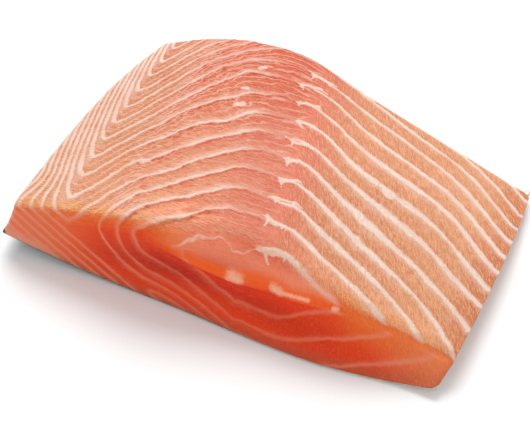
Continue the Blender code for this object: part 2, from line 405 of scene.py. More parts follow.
def curve(xs, zs, x):
    """Height at x of the smooth curve through the points."""
    xs = np.asarray(xs)
    zs = np.asarray(zs)
    last = len(xs) - 1
    order = np.arange(last + 1)
    before = np.maximum(order - 1, 0)
    after = np.minimum(order + 1, last)
    slope = (zs[after] - zs[before]) / (xs[after] - xs[before])
    x = np.clip(x, xs[0], xs[last])
    i = np.clip(np.searchsorted(xs, x) - 1, 0, last - 1)
    span = xs[i + 1] - xs[i]
    t = (x - xs[i]) / span
    rise = zs[i] * (1 + 2 * t) * (1 - t) ** 2 + zs[i + 1] * t * t * (3 - 2 * t)
    return rise + span * (slope[i] * t * (1 - t) ** 2 - slope[i + 1] * t * t * (1 - t))


def perlin(points, scale, octaves=1):
    """Smooth noise between about -1 and 1."""
    scaled = points * np.asarray(scale)
    if octaves > 1:
        return np.array([noise.fractal(p, 0.9, 2.0, octaves) for p in scaled.tolist()])
    return np.array([noise.noise(p) for p in scaled.tolist()])


def edge_bow(y):
    return np.sin(np.pi * np.clip(y / EDGE_BOW_LENGTH, 0.0, 1.0))


def back_edge(y):
    start, end = BACK_CORNER_Y
    corner = np.clip((y - start) / (end - start), 0.0, 1.0)
    return BACK_EDGE_X - BACK_EDGE_BOW * edge_bow(y) + BACK_CORNER_PULL * corner**2


def belly_edge(y):
    return BELLY_EDGE_X + BELLY_EDGE_BOW * edge_bow(y)


def near_cut(x):
    reach = np.where(x < NEAR_CUT_BOW_X, NEAR_CUT_BOW_REACH_BACK, NEAR_CUT_BOW_REACH_BELLY)
    return NEAR_CUT_Y - NEAR_CUT_BOW * bell((x - NEAR_CUT_BOW_X) / reach)


def far_cut(x):
    bow = FAR_CUT_BOW * bell((x - FAR_CUT_BOW_X) / FAR_CUT_BOW_REACH)
    return FAR_CUT_Y + FAR_CUT_SKEW * x + bow


def near_lean(x):
    return NEAR_LEAN + NEAR_LEAN_BELLY * ramp(*NEAR_LEAN_X, x)


def underside(x):
    back = np.maximum((BACK_CURL_START - x) / (BACK_CURL_START - BACK_EDGE_X), 0.0)
    belly = np.maximum((x - BELLY_CURL_START) / (BELLY_EDGE_X - BELLY_CURL_START), 0.0)
    curl = BACK_CURL * back**BACK_CURL_POWER + BELLY_CURL * belly**BELLY_CURL_POWER
    return UNDERSIDE_LIFT + curl


def midline(y):
    return mix(*MIDLINE_X, y / FAR_CUT_Y)


def bend_line(y):
    return mix(BEND_X[1], BEND_X[0], (1.0 - np.clip(y / FAR_CUT_Y, 0.0, 1.0)) ** 2)


def plain_top(x, y):
    rise = ramp(0.0, FAR_CUT_Y, y) * bell((x - BACK_SIDE_RISE_X) / BACK_SIDE_RISE_REACH)
    fall = ramp(*FAR_BELLY_X, x) * ramp(*FAR_BELLY_Y, y)
    return curve(PROFILE_X, PROFILE_Z, x) + BACK_SIDE_RISE * rise - FAR_BELLY_FALL * fall


def top(x, y):
    shoulder = bell((x - SHOULDER_X) / SHOULDER_HALF_WIDTH)
    drop = NEAR_EDGE_DROP + SHOULDER_DROP * shoulder
    reach = NEAR_EDGE_REACH + SHOULDER_REACH * shoulder
    edge = near_cut(x) + near_lean(x)
    inward = 0.5 * (y - edge + np.hypot(y - edge, NEAR_EDGE_SOFTNESS))
    part = np.maximum(1.0 - inward / reach, 0.0)
    return plain_top(x, y) - drop * part**2


def reach_of(x, y):
    """-1 at the bend on the back side, 0 at the midline, 1 at the belly edge."""
    middle = midline(y)
    back = (x - middle) / (middle - bend_line(y))
    belly = (x - middle) / (BELLY_EDGE_X - middle)
    return np.where(x > middle, belly, back)


def segment(x, y, z):
    """Which muscle segment a point is in: whole numbers are the sheets of fat."""
    reach = reach_of(x, y)
    columns = np.array(SWEEP)
    rows = [curve(REACH, columns[:, k], reach) for k in range(len(SWEEP_Y))]
    place = np.clip(np.searchsorted(SWEEP_Y, y) - 1, 0, len(SWEEP_Y) - 2)
    low = np.take(SWEEP_Y, place)
    high = np.take(SWEEP_Y, place + 1)
    share = np.clip((y - low) / (high - low), 0.0, 1.0)
    rows = np.array(rows)
    across = np.arange(len(x))
    sweep = mix(rows[place, across], rows[place + 1, across], share)
    depth = np.maximum(plain_top(x, y) - z, 0.0) / DIP_DEPTH
    straight = np.interp(reach, DIP_REACH, DIP_STRAIGHT)
    curved = np.interp(reach, DIP_REACH, DIP_CURVED)
    main = sweep - straight * depth - curved * depth**2
    bend = bend_line(y)
    rise = plain_top(bend, y) - z
    over = (bend - x) + FLANK_TILT * rise
    far_slope = mix(*FLANK_SLOPE_FAR, ramp(*FLANK_SLOPE_Y, y))
    turned = np.maximum(over, 0.0) - FLANK_TURN * (1.0 - np.exp(-np.maximum(over, 0.0) / FLANK_TURN))
    flank = -BACK_SIDE_SWEEP + FLANK_SLOPE * over + (far_slope - FLANK_SLOPE) * turned
    gap = main - flank
    both = 0.5 * (main + flank + np.sqrt(gap * gap + BEND_SOFTNESS**2))
    return (y - both) / PITCH


def rounded(points):
    """The points of the plain block after rounding its top and upright edges."""
    inner = HALF_SPAN - EDGE_RADIUS
    core = np.clip(points, -inner, inner)
    low = points[:, 2] < core[:, 2]
    core[low, 2] = points[low, 2]
    away = points - core
    length = np.sqrt((away**2).sum(1))
    scale = np.minimum(EDGE_RADIUS / np.maximum(length, 1e-12), 1.0)
    return core + away * scale[:, None]


def place_on_ground(across, along, up, lift):
    y = mix(NEAR_CUT_Y, FAR_CUT_Y, along)
    left = back_edge(y) + BACK_LEAN * up * lift
    right = belly_edge(y) - BELLY_UNDERCUT * (1.0 - up * lift)
    x = mix(left, right, across)
    near = near_cut(x) + near_lean(x) * up * lift
    far = far_cut(x) - FAR_INSET - FAR_LEAN * up * lift
    return x, mix(near, far, along)


def flesh_form(points):
    across, along, up = (0.5 + 0.5 * rounded(points) / HALF_SPAN).T
    x, y = place_on_ground(across, along, up, 1.0)
    low = underside(x) + SKIN_THICKNESS
    return np.stack([x, y, mix(low, top(x, y), up)], 1)


def block_surface(rows, coarse, spans):
    """Points and faces of a closed block. Its underside has one face for each coarse by coarse cells."""
    nx, ny, nz = rows
    i, j, k = np.meshgrid(*[np.arange(n + 1) for n in rows], indexing="ij")
    wall = (i == 0) | (i == nx) | (j == 0) | (j == ny)
    floor = (i % coarse == 0) & (j % coarse == 0)
    used = np.where(k == 0, wall | floor, wall | (k == nz))
    number = np.full(used.shape, -1)
    number[used] = np.arange(used.sum())
    places = [span[index[used]] for span, index in zip(spans, (i, j, k))]
    faces = []

    def sheet(grid, flip):
        quads = np.stack([grid[:-1, :-1], grid[1:, :-1], grid[1:, 1:], grid[:-1, 1:]], -1)
        quads = quads.reshape(-1, 4)
        faces.extend((quads[:, ::-1] if flip else quads).tolist())

    sheet(number[:, :, nz], False)
    sheet(number[:, 0, :], False)
    sheet(number[:, ny, :], True)
    sheet(number[0], True)
    sheet(number[nx], False)
    base = number[:, :, 0]
    for a in range(0, nx, coarse):
        for b in range(0, ny, coarse):
            ring = list(base[a, b : b + coarse])
            ring += list(base[a : a + coarse, b + coarse])
            ring += list(base[a + coarse, b + 1 : b + coarse + 1][::-1])
            ring += list(base[a + 1 : a + coarse + 1, b][::-1])
            faces.append([int(v) for v in ring if v >= 0])
    return np.stack(places, 1), faces


def fine_stations(rows, half, dense_low):
    """Places along one axis from -half to half, closer together at the low end."""
    t = np.linspace(0.0, 1.0, rows + 1)
    t = mix(t, t * t, dense_low)
    return (2.0 * t - 1.0) * half


def outline_shift():
    """From the outline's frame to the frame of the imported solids."""
    y = np.linspace(0.0, FAR_CUT_Y, 400)
    x = np.linspace(BACK_EDGE_X, BELLY_EDGE_X, 400)
    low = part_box("skin")[0]
    return Vector((low.x - back_edge(y).min(), low.y - near_cut(x).min(), 0.0))


SHIFT = outline_shift()


def streaks(u, v, places):
    """1 on the middle of each streak, 0.5 at its half-width, 0 well outside."""
    found = np.zeros_like(u)
    for (au, av), (bu, bv), half, *thin in places:
        du, dv = bu - au, bv - av
        share = np.clip(((u - au) * du + (v - av) * dv) / (du * du + dv * dv), 0.0, 1.0)
        distance = np.hypot(u - au - share * du, v - av - share * dv)
        width = mix(half, thin[0] if thin else half, share)
        found = np.maximum(found, 1.0 - 0.5 * distance / width)
    return np.maximum(found, 0.0)


def ragged(points):
    """x and y of the points, shifted a little so that streaks get ragged edges."""
    sway = 0.0007 * perlin(points, 330.0) + 0.0002 * perlin(points, 900.0)
    drift = 0.0007 * perlin(points + 0.3, 330.0) + 0.0002 * perlin(points + 0.3, 900.0)
    return points[:, 0] + sway, points[:, 1] + drift


def mark_streaks():
    """Each mark is a star with a bridge to its right end."""
    chance = random.Random(5)
    places = []
    for left, right in MARK_ENDS:
        places.append((left, right, BRIDGE_HALF_WIDTH * chance.uniform(0.8, 1.3)))
        for knot, size, spurs in ((left, 1.0, LEFT_SPURS), (right, RIGHT_STAR_SIZE, RIGHT_SPURS)):
            size *= MARK_HALF_WIDTH * chance.uniform(0.8, 1.2)
            places.append((knot, (knot[0] + 0.5 * size, knot[1] + 0.2 * size), size))
            for angle, low, high in spurs:
                length = chance.uniform(low, high)
                turned = math.radians(angle + chance.uniform(-SPUR_SWING, SPUR_SWING))
                end = (knot[0] + length * math.cos(turned), knot[1] + length * math.sin(turned))
                places.append((knot, end, 0.85 * size, SPUR_TIP))
    return places


def crest_streaks():
    pairs = range(len(CREST) - 1)
    return [(*CREST[k : k + 2], *CREST_HALF_WIDTHS[k : k + 2]) for k in pairs]


def mesh_object(name, points, faces):
    mesh = bpy.data.meshes.new(name)
    mesh.from_pydata((points + np.array(SHIFT)).tolist(), [], faces)
    mesh.update()
    mesh.shade_smooth()
    piece = bpy.data.objects.new(name, mesh)
    bpy.context.scene.collection.objects.link(piece)
    return piece


def normals_of(piece):
    values = np.zeros(len(piece.data.vertices) * 3, np.float32)
    piece.data.vertex_normals.foreach_get("vector", values)
    return values.reshape(-1, 3).astype(float)


def set_points(piece, points):
    piece.data.vertices.foreach_set("co", (points + np.array(SHIFT)).astype(np.float32).ravel())
    piece.data.update()


def set_attribute(piece, name, values):
    kind = "FLOAT_VECTOR" if values.ndim == 2 else "FLOAT"
    attribute = piece.data.attributes.new(name, kind, "POINT")
    attribute.data.foreach_set("vector" if values.ndim == 2 else "value", values.ravel())


def srgb(colour):
    """Linear colour from values of 0 to 255 as seen on a screen."""
    value = np.array(colour) / 255.0
    return np.where(value <= 0.04045, value / 12.92, ((value + 0.055) / 1.055) ** 2.4)


def layered(points, ground, layers):
    """A colour for each point: the ground, mixed towards each layer's colour by its share."""
    colours = np.repeat(srgb(ground)[None], len(points), 0)
    for colour, share in layers:
        colours = mix(colours, srgb(colour), share[:, None])
    return colours


def gradient_along(points, normal):
    """How fast the segment number changes along the surface, per metre."""
    step = 0.0003
    flattest = 20.0
    slopes = []
    for axis in range(3):
        shift = np.zeros(3)
        shift[axis] = step
        after = segment(*(points + shift).T)
        before = segment(*(points - shift).T)
        slopes.append((after - before) / (2.0 * step))
    slope = np.stack(slopes, 1)
    slope -= normal * (slope * normal).sum(1)[:, None]
    return np.maximum(np.sqrt((slope**2).sum(1)), flattest)


def sheets(points, normal, zones):
    """Segment number at each point of the surface, and how fast it changes along the surface."""
    x, y, z = points.T
    shoulder = (1.0 - ramp(*SHOULDER_Y, zones["from_cut"])) * ramp(*SHOULDER_START_X, x)
    upper = np.maximum(ramp(*LEVEL_SLANT, normal[:, 2]), shoulder) * (1.0 - zones["wall"])
    level = np.stack([x, y, mix(z, plain_top(x, y), upper)], 1)
    layer_share = zones["wall"] * ramp(*LAYER_X, x)
    layer = 1.0 + (LAYER_Z + LAYER_SLOPE * x - z) / LAYER_PITCH
    seg = mix(segment(*level.T), layer, layer_share)
    steepness = mix(gradient_along(level, normal), 1.0 / LAYER_PITCH, layer_share)
    fine = mix(1.0, WAVER_ON_BELLY, zones["belly"])
    for (scale, size), share in zip(WAVER, (1.0, fine, fine)):
        seg = seg + perlin(points, scale) * size * share
    return seg, steepness


def flesh_zones(points, normal, inward):
    """How much each point belongs to each part of the flesh, from 0 to 1, and its place there."""
    x, y, z = points.T
    reach = reach_of(x, y)
    from_cut = y - near_cut(x)
    back = 1.0 - ramp(*BACK_REACH, reach)
    belly = ramp(*BELLY_REACH, reach)
    corner = 0.9 * ramp(*LAYER_X, x) * (1.0 - ramp(*CUT_FADE, inward))
    cut = np.maximum(ramp(*CUT_SLANT, -normal[:, 1]), corner)
    far = ramp(*FAR_SLANT, normal[:, 1])
    close = 1.0 - ramp(*CLOSE_TO_CUT, from_cut)
    waver = EDGE_BAND_WAVER * perlin(points, 120.0)
    u, v = ragged(points)
    marks = streaks(u, v, mark_streaks() + list(BLOBS))
    return {
        "reach": reach,
        "from_cut": from_cut,
        "depth": plain_top(x, y) - z,
        "under": np.interp(x, LEDGE_X, LEDGE_Z) - z,
        "up": ramp(*UP_SLANT, normal[:, 2]),
        "cut": cut,
        "sliced": np.maximum(cut, far),
        "flank": ramp(*FLANK_SLANT, -normal[:, 0]),
        "back": back,
        "belly": belly,
        "middle": (1.0 - back) * (1.0 - belly),
        "mark": np.maximum(marks, CREST_STRENGTH * streaks(u, v, crest_streaks())),
        "hollow": ramp(0.2, 0.9, streaks(u, v, HOLLOWS)),
        "fleck": streaks(x, z, FLECKS) * close,
        "smooth": bell((reach + 0.06) / SMOOTH_REACH),
        "edge": 1.0 - ramp(*EDGE_BAND, from_cut - near_lean(x) + waver),
        # Where painted light brightens the shoulder
        "painted_light": (1.0 - ramp(*PAINTED_LIGHT_Y, from_cut)) * window(*PAINTED_LIGHT_X, x),
        "close": close,
        "shoulder": window(*LEDGE_FADE, x),
    }


def flesh_relief(points, zones, steepness):
    """How far each point of the flesh moves along its normal."""
    x = points[:, 0]
    middle = zones["middle"]
    phase = zones["phase"]
    to_next = (1.0 - phase) / steepness - STEP_TOP_HALF_WIDTH
    rise = 1.0 - ramp(0.0, 1.0, to_next / STEP_WIDTH)
    profile = mix(1.0 - phase, 1.0, rise) - 0.5
    near = (1.0 - ramp(0.0, STEP_NEAR_REACH, zones["from_cut"])) * window(*STEP_NEAR_X, x)
    step = (STEP_MIDDLE + STEP_NEAR * near) * middle + STEP_BACK * zones["back"]
    step *= 1.0 - STEP_FADE * ramp(*STEP_FADE_REACH, zones["reach"])
    fibres = FIBRE_HEIGHT * perlin(points, FIBRE_NOISE, 3)
    fibres *= mix(FIBRES_OFF_MIDDLE, 1.0, middle) * (1.0 - FIBRES_SMOOTHED * zones["smooth"])
    height = step * profile * (1.0 - zones["inner"]) + fibres
    height += MARK_HEIGHT * zones["mark"] - HOLLOW_DEPTH * zones["hollow"]
    height *= zones["up"]
    ledge = LEDGE_DEPTH * window(*LEDGE_PROFILE, zones["under"])
    lip = LIP_HEIGHT * bell((zones["under"] + LIP_REACH) / LIP_REACH)
    height += zones["cut"] * zones["shoulder"] * (lip - ledge)
    return height + FLECK_HEIGHT * zones["fleck"]


def fat_half_widths(points, zones, steepness):
    """Half-width of the lines of fat, in segments."""
    x, y, _ = points.T
    wide = bell((x - WIDEST[0]) / WIDEST_REACH[0]) * bell((y - WIDEST[1]) / WIDEST_REACH[1])
    belly = mix(HALF_MIDLINE, HALF_BELLY, ramp(0.0, 0.35, zones["reach"]))
    belly = (belly + HALF_BELLY_WIDEST * wide) * (1.0 - 0.35 * ramp(0.062, 0.095, y))
    half = mix(HALF_MIDDLE, HALF_BACK, zones["back"])
    half = mix(half, HALF_FLANK, zones["flank"])
    half = mix(half, belly, zones["belly"])
    half = mix(half, HALF_CUT, zones["sliced"])
    bend = bell((x - bend_line(y) - BEND_FAT_X) / BEND_FAT_REACH) * (1.0 - zones["sliced"])
    half *= 1.0 + BEND_FAT_GAIN * bend
    half *= 1.0 + 0.40 * perlin(points, 90.0) + 0.30 * perlin(points, 240.0)
    half *= 1.0 + 0.30 * perlin(points, 700.0)
    return half * steepness


def fat_strengths(points, zones):
    """Strength of the lines of fat, from 0 to 1."""
    x, y, _ = points.T
    middle, wall = zones["middle"], zones["wall"]
    on_cut = mix(STRONG_CUT_BACK, STRONG_CUT_MIDDLE, ramp(-0.045, -0.01, x))
    on_cut += STRONG_CUT_BELLY * ramp(0.020, 0.060, x)
    strength = mix(STRONG_MIDDLE, STRONG_BACK, zones["back"])
    strength *= 1.0 - 0.75 * window(*FADED_REACH, zones["reach"])
    strength = mix(strength, STRONG_BELLY, zones["belly"])
    strength = mix(strength, on_cut, zones["sliced"])
    strength *= 1.0 + 0.25 * perlin(points, 110.0) + 0.25 * middle * perlin(points, 300.0)
    strength *= 1.0 - 0.4 * zones["edge"] * (1.0 - zones["sliced"])
    strength *= 1.0 - zones["inner"]
    strength *= np.maximum(1.0 - 12.0 * wall * (1.0 - wall) * ramp(*LAYER_X, x), 0.0)
    strength *= 1.0 - 0.3 * ramp(0.050, 0.100, y) * middle
    return np.clip(strength, 0.0, 1.0)


def thin_line_strengths(points, zones):
    """Strength of the thin lines of fat between the sheets."""
    y = points[:, 1]
    reach, middle = zones["reach"], zones["middle"]
    thin = zones["back"] * ramp(-1.25, -0.95, reach) + 0.6 * bell((reach + 0.70) / 0.12)
    thin += middle * (0.35 + 0.9 * ramp(0.040, 0.075, y)) * (1.0 + perlin(points, 150.0))
    return np.clip(thin, 0.0, 1.4) * (1.0 - zones["sliced"]) * mix(0.35, 0.34, middle)


def flesh_colours(points, zones):
    x, y, z = points.T
    names = ("reach", "phase", "middle", "back", "belly", "under", "sliced")
    reach, phase, middle, back, belly, under, sliced = (zones[name] for name in names)
    cloud = perlin(points, 70.0, 2)
    depth = zones["depth"] / 0.02
    wide = ramp(-0.05, 0.35, reach)
    near_back = (1.0 - ramp(0.010, 0.050, y)) * (1.0 - ramp(-0.020, 0.006, x)) * (1.0 - belly)
    shoulder = zones["shoulder"]
    face = zones["close"] * shoulder
    below = mix(1.0, ramp(-0.0030, -0.0012, under), face)
    above = ramp(-0.0052, -0.0024, under + 0.001 * cloud) * (1.0 - ramp(-0.0006, 0.0006, under))
    top_of_cut = (1.0 - ramp(0.0, 0.28, depth)) * (1.0 - shoulder)
    belly_side = ramp(0.030, 0.055, x) * (1.0 - ramp(0.1, 0.6, depth))
    belly_end = mix(1.0, 0.30, ramp(0.030, 0.060, x))
    back_end = 1.0 - ramp(-0.066, -0.046, x)
    foot = 1.0 - ramp(0.0008, 0.0050, z - underside(x) - SKIN_THICKNESS)
    layers = (
        (FLESH_IN_MIDDLE, middle),
        (FLESH_AT_MIDLINE, bell((reach + 0.10) / 0.24) * 0.85),
        # Painted light on each step's crest, then painted shade at its foot
        (FLESH_BEHIND_SHEET_WITH_PAINTED_LIGHT, (1.0 - ramp(0.0, 0.55, phase)) * middle * 0.60),
        (FLESH_BEFORE_SHEET_WITH_PAINTED_SHADE, ramp(0.55, 1.0, phase) * middle * 0.65),
        (FLESH_ON_BELLY, wide),
        (FLESH_FAR_ON_BELLY, ramp(0.30, 0.80, reach) * 0.7),
        (FLESH_BESIDE_BAND, bell((phase - 0.16) / 0.14) * wide * 0.45),
        (FLESH_BESIDE_MARKS, bell((reach - 0.05) / 0.15) * 0.65),
        # Painted light on the belly near the near cut
        (BELLY_NEAR_CUT_PAINTED_LIGHT, (1.0 - ramp(0.004, 0.022, zones["from_cut"])) * wide * 0.75),
        (BELLY_RIM, belly * ramp(0.84, 1.0, reach) * 0.8),
        (MIDDLE_CLOUDS, np.clip(cloud, 0.0, 1.0) * 0.5 * middle),
        (MIDDLE_FAR, ramp(0.045, 0.095, y) * middle * 0.9),
        (BACK_FAR, ramp(0.050, 0.100, y) * back * 0.7),
        (BACK_NEAR, near_back * 0.45),
        # Painted light on the shoulder, which faces away from the key light
        (SHOULDER_PAINTED_LIGHT, zones["painted_light"] * 0.75),
        # Face of the shoulder: its pink-orange, brightened with painted light
        (SHOULDER_FACE_WITH_PAINTED_LIGHT, ramp(0.0004, 0.0034, zones["depth"]) * face * 0.95),
        # Orange of the rounded near edge, with a painted glow of light through it
        (EDGE_ORANGE_AND_PAINTED_GLOW, zones["edge"] * (1.0 - shoulder) * belly_end * 0.9),
        (CUT_RED, sliced * below),
        (CUT_DEEP, sliced * bell((depth - 0.72) / 0.30) * bell((x + 0.005) / 0.034)),
        (CUT_TOP, sliced * below * top_of_cut),
        (CUT_BELLY_TOP, sliced * belly_side * 0.8),
        (CUT_BELLY_END, sliced * ramp(0.052, 0.080, x) * 0.6),
        # Orange above the ledge with painted light, then painted light in the shade under the overhang
        (ABOVE_LEDGE_WITH_PAINTED_LIGHT, face * above * 0.9),
        (UNDER_LEDGE_PAINTED_LIGHT, face * bell((under - 0.0014) / 0.0022) * 0.6),
        (CUT_BACK, sliced * (1.0 - ramp(-0.056, -0.034, x)) * below * 0.6),
        (CUT_BACK_END, sliced * back_end * 0.55),
        (CUT_FOOT_BACK, sliced * foot * back_end * 0.9),
        # Painted contact shade along the foot of the cut, away from its back end
        (CUT_FOOT_PAINTED_SHADE, sliced * foot * (1.0 - back_end) * 0.5),
    )
    return layered(points, FLESH_ON_BACK, layers)


def fat_colours(points, zones):
    layers = (
        (FAT_ON_BELLY, zones["belly"]),
        (FAT_ON_CUT, zones["sliced"]),
        # Fat on the shoulder, brightened with painted light
        (FAT_ON_SHOULDER_PAINTED_LIGHT, zones["painted_light"] * (1.0 - zones["wall"]) * 0.75),
    )
    return layered(points, FAT_ABOVE, layers)


def make_flesh():
    spans = (
        fine_stations(FLESH_ROWS[0], HALF_SPAN[0], 0.0),
        fine_stations(FLESH_ROWS[1], HALF_SPAN[1], DENSER_NEAR),
        -fine_stations(FLESH_ROWS[2], HALF_SPAN[2], DENSER_TOP)[::-1],
    )
    block, faces = block_surface(FLESH_ROWS, FLESH_COARSE, spans)
    points = flesh_form(block)
    piece = mesh_object("salmon_flesh", points, faces)
    normal = normals_of(piece)
    inward = FAR_CUT_Y * (0.5 + 0.5 * rounded(block)[:, 1] / HALF_SPAN[1])
    zones = flesh_zones(points, normal, inward)
    zones["wall"] = 1.0 - ramp(*WALL_FADE, inward)
    seg, steepness = sheets(points, normal, zones)
    zones["phase"] = seg - np.floor(seg)
    inner = (1.0 - ramp(*INNER_SEGMENT, seg)) * window(*INNER_X, points[:, 0])
    zones["inner"] = inner * (1.0 - zones["wall"])
    height = flesh_relief(points, zones, steepness)
    set_points(piece, points + normal * height[:, None])
    attributes = {
        "seg": seg,
        "fat_half": fat_half_widths(points, zones, steepness),
        "fat_strength": fat_strengths(points, zones),
        "fat_between": thin_line_strengths(points, zones),
        "middle": zones["middle"],
        "belly": zones["belly"],
        "cut": zones["sliced"],
        "mark": zones["mark"] * ramp(0.0, 0.2, normal[:, 2]),
        "fleck": zones["fleck"],
        "smooth": zones["smooth"],
        "hollow": zones["hollow"] * zones["up"],
        "flesh_colour": flesh_colours(points, zones),
        "fat_colour": fat_colours(points, zones),
    }
    for name, values in attributes.items():
        set_attribute(piece, name, values)
    piece.data.materials.append(flesh_material())
    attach(piece, "root")
    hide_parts("flesh")


def make_skin():
    spans = [fine_stations(rows, half, 0.0) for rows, half in zip(SKIN_ROWS, HALF_SPAN)]
    block, faces = block_surface(SKIN_ROWS, 1, spans)
    across, along, up = (0.5 + 0.5 * block / HALF_SPAN).T
    x, y = place_on_ground(across, along, up, 0.0)
    tip_across, tip_along = SKIN_TIP_SHARES
    tip = SKIN_TIP * bell((1.0 - across) / tip_across) * bell((1.0 - along) / tip_along)
    y = y + SKIN_INSET * (1.0 - ramp(0.0, SKIN_INSET_SHARE, along))
    z = underside(x) + (SKIN_THICKNESS + SKIN_OVERLAP) * up
    piece = mesh_object("salmon_skin", np.stack([x + tip, y + tip, z], 1), faces)
    piece.data.materials.append(skin_material())
    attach(piece, "root")
    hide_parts("skin")


class Nodes:
    """Short calls for building a material's nodes."""

    def __init__(self, name):
        self.material = bpy.data.materials.new(name)
        self.material.use_nodes = True
        self.tree = self.material.node_tree
        self.shader = self.tree.nodes["Principled BSDF"]

    def add(self, kind, **settings):
        node = self.tree.nodes.new(kind)
        for key, value in settings.items():
            setattr(node, key, value)
        return node

    def link(self, source, socket):
        """Feeds a socket from another one, or sets its value."""
        if isinstance(source, bpy.types.NodeSocket):
            self.tree.links.new(source, socket)
        elif socket.type == "RGBA":
            socket.default_value = (*source, 1.0)
        else:
            socket.default_value = source

    def set(self, **values):
        """Feeds or sets inputs of the shader, named with _ for each space."""
        for name, value in values.items():
            self.link(value, self.shader.inputs[name.replace("_", " ")])

    def attribute(self, name, vector=False):
        node = self.add("ShaderNodeAttribute", attribute_name=name)
        return node.outputs["Vector" if vector else "Fac"]

    def math(self, operation, *values):
        node = self.add("ShaderNodeMath", operation=operation)
        for socket, value in zip(node.inputs, values):
            self.link(value, socket)
        return node.outputs[0]

    def times(self, first, *others):
        for other in others:
            first = self.math("MULTIPLY", first, other)
        return first

    def between(self, value, low, high, to_low=0.0, to_high=1.0):
        """Smooth step from to_low at low to to_high at high."""
        node = self.add("ShaderNodeMapRange", interpolation_type="SMOOTHSTEP")
        for socket, given in zip(node.inputs, (value, low, high, to_low, to_high)):
            self.link(given, socket)
        return node.outputs[0]

    def noise(self, vector, scale, detail=2.0, roughness=0.5):
        node = self.add("ShaderNodeTexNoise")
        self.link(vector, node.inputs["Vector"])
        node.inputs["Scale"].default_value = scale
        node.inputs["Detail"].default_value = detail
        node.inputs["Roughness"].default_value = roughness
        return node.outputs["Fac"]

    def scaled(self, vector, factors):
        node = self.add("ShaderNodeVectorMath", operation="MULTIPLY")
        self.link(vector, node.inputs[0])
        self.link(factors, node.inputs[1])
        return node.outputs[0]

    def mix(self, factor, a, b):
        """Colour a where the factor is 0, and b where it is 1."""
        node = self.add("ShaderNodeMix", data_type="RGBA")
        for place, value in ((0, factor), (6, a), (7, b)):
            self.link(value, node.inputs[place])
        return node.outputs[2]

    def blend(self, factor, a, b):
        """Number a where the factor is 0, and b where it is 1."""
        node = self.add("ShaderNodeMix", data_type="FLOAT")
        for place, value in ((0, factor), (2, a), (3, b)):
            self.link(value, node.inputs[place])
        return node.outputs[0]

    def bump(self, height, distance):
        node = self.add("ShaderNodeBump")
        node.inputs["Distance"].default_value = distance
        self.link(height, node.inputs["Height"])
        return node.outputs[0]


def sheet_lines(n, place, middle, cut, cloud, sway):
    """How much fat shows, and how much of the darker red foot in front of each sheet: red patches of the
    flesh with painted shade below the step.
    """
    seg = n.math("ADD", n.attribute("seg"), n.times(sway, 0.085))
    half = n.attribute("fat_half")
    strength = n.attribute("fat_strength")
    phase = n.math("SUBTRACT", n.math("FRACT", n.math("ADD", seg, 0.5)), 0.5)
    share = n.math("DIVIDE", phase, half)
    off = n.math("ABSOLUTE", share)
    line = n.blend(cut, n.between(off, 1.55, 0.45), n.between(off, 2.30, 0.10))
    halo_before = n.times(n.between(share, -3.2, -0.8), n.between(share, 0.8, 0.0))
    halo_behind = n.times(n.between(share, 5.0, 0.8), n.between(share, -0.8, 0.0))
    halo = n.blend(middle, halo_before, halo_behind)
    line = n.times(n.math("MAXIMUM", line, n.times(halo, 0.40)), strength)

    drift = n.noise(n.scaled(place, DRIFT_GRAIN), 1.0, 1.0)
    drift = n.times(n.math("SUBTRACT", drift, 0.5), 1.6)
    thirds = n.math("ADD", n.times(seg, 3.0), drift)
    thirds = n.math("SUBTRACT", n.math("FRACT", thirds), 0.5)
    halves = n.math("SUBTRACT", n.math("FRACT", seg), 0.5)
    thin = n.blend(middle, halves, n.times(thirds, 0.5))
    thin = n.math("ABSOLUTE", n.math("DIVIDE", thin, half))
    thin = n.times(n.between(thin, 1.5, 0.1), n.attribute("fat_between"))

    # Foot in front of each sheet: red patches, with painted shade where the step stands over it
    foot = n.times(n.between(share, -3.4, -1.6), n.between(share, -0.7, -1.4))
    patches = n.between(cloud, 0.42, 0.62, 0.10, 0.75)
    fade = n.between(n.attribute("smooth"), 0.0, 1.0, 1.0, 0.5)
    return n.math("MAXIMUM", line, thin), n.times(foot, middle, patches, strength, fade)


